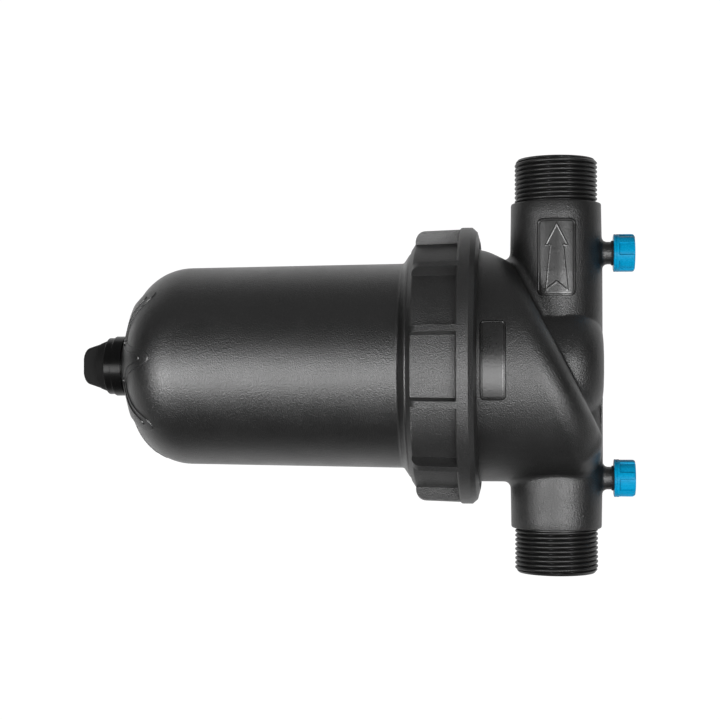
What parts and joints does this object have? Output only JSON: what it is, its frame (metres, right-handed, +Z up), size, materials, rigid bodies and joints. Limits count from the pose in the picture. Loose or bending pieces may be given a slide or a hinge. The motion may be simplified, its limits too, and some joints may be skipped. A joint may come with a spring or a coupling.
{
  "type": "irrigation disc filter",
  "caption": "In-line irrigation filter with a removable disc cartridge: upright threaded pipe, angled hopper, ribbed ring nut, domed canister with drain plug, test port caps.",
  "frame": {"origin": "centre of the inlet pipe's threaded end face", "axes": "+Z up the pipe from inlet to outlet; the filter's main axis crosses it half way up, with the canister towards -X and the test ports towards +X"},
  "size_m": [0.2852, 0.1412, 0.21],
  "materials": {
    "black_body": "fine-grained black moulded plastic",
    "black_nut": "fine-grained black moulded plastic",
    "black_canister": "satin black moulded plastic",
    "black_plug": "matte grip on a glossy head",
    "blue_cap": "satin sky-blue plastic",
    "white_slip_ring": "smooth natural plastic",
    "grey_cartridge": "satin dark grey plastic",
    "red_discs": "satin red plastic with fine grooves",
    "black_rubber": "plain black rubber",
    "steel_rod": "plain stainless steel"
  },
  "bodies": {
    "housing": {"housing": "black_body"},
    "canister": {"canister": "black_canister", "main_seal": "black_rubber"},
    "slip_ring": {"thrust_ring": "white_slip_ring"},
    "ring_nut": {"ring_nut": "black_nut"},
    "drain_seal": {"drain_seal": "black_rubber"},
    "drain_plug": {"drain_plug": "black_plug"},
    "cartridge": {"cartridge_base": "grey_cartridge", "spigot_seal": "black_rubber", "disc_cage": "grey_cartridge", "disc_stack": "red_discs", "tie_rod": "steel_rod", "rod_nut": "steel_rod"},
    "pressure_plate": {"pressure_plate": "grey_cartridge", "clamp_washer": "steel_rod"},
    "clamp_knob": {"clamp_knob": "grey_cartridge"},
    "outlet_port_seal": {"outlet_port_seal": "black_rubber"},
    "outlet_port_cap": {"outlet_port_cap": "blue_cap"},
    "inlet_port_seal": {"inlet_port_seal": "black_rubber"},
    "inlet_port_cap": {"inlet_port_cap": "blue_cap"}
  },
  "joints": [
    {"name": "canister_pull", "type": "slide", "parent": "housing", "child": "canister", "axis": [-1, 0, 0], "range_m": [0, 0.25]},
    {"name": "ring_slip", "type": "slide", "parent": "canister", "child": "slip_ring", "axis": [-1, 0, 0], "range_m": [0, 0.024]},
    {"name": "nut_turn", "type": "hinge", "parent": "slip_ring", "child": "ring_nut", "pos_m": [-0.054, 0, 0.105], "axis": [-1, 0, 0], "range_deg": [0, 1440]},
    {"name": "drain_seal_slip", "type": "slide", "parent": "canister", "child": "drain_seal", "axis": [-1, 0, 0], "range_m": [0, 0.0127]},
    {"name": "drain_plug_turn", "type": "hinge", "parent": "drain_seal", "child": "drain_plug", "pos_m": [-0.23, 0, 0.105], "axis": [-1, 0, 0], "range_deg": [0, 2520]},
    {"name": "cartridge_pull", "type": "slide", "parent": "housing", "child": "cartridge", "axis": [-1, 0, 0], "range_m": [0, 0.0625]},
    {"name": "plate_slip", "type": "slide", "parent": "cartridge", "child": "pressure_plate", "axis": [-1, 0, 0], "range_m": [0, 0.00875]},
    {"name": "knob_turn", "type": "hinge", "parent": "pressure_plate", "child": "clamp_knob", "pos_m": [-0.193, 0, 0.105], "axis": [-1, 0, 0], "range_deg": [0, 2520]},
    {"name": "outlet_seal_slip", "type": "slide", "parent": "housing", "child": "outlet_port_seal", "axis": [1, 0, 0], "range_m": [0, 0.00544]},
    {"name": "outlet_cap_turn", "type": "hinge", "parent": "outlet_port_seal", "child": "outlet_port_cap", "pos_m": [0.034, 0, 0.1622], "axis": [1, 0, 0], "range_deg": [0, 2160]},
    {"name": "inlet_seal_slip", "type": "slide", "parent": "housing", "child": "inlet_port_seal", "axis": [1, 0, 0], "range_m": [0, 0.00544]},
    {"name": "inlet_cap_turn", "type": "hinge", "parent": "inlet_port_seal", "child": "inlet_port_cap", "pos_m": [0.034, 0, 0.0478], "axis": [1, 0, 0], "range_deg": [0, 2160]}
  ],
  "couplings": [
    {"joint": "ring_slip", "follows": "nut_turn", "m_per_rad": 0.00095493},
    {"joint": "drain_seal_slip", "follows": "drain_plug_turn", "m_per_rad": 0.00028871},
    {"joint": "cartridge_pull", "follows": "canister_pull", "ratio": 0.25},
    {"joint": "plate_slip", "follows": "knob_turn", "m_per_rad": 0.00019894},
    {"joint": "outlet_seal_slip", "follows": "outlet_cap_turn", "m_per_rad": 0.00014435},
    {"joint": "inlet_seal_slip", "follows": "inlet_cap_turn", "m_per_rad": 0.00014435}
  ]
}
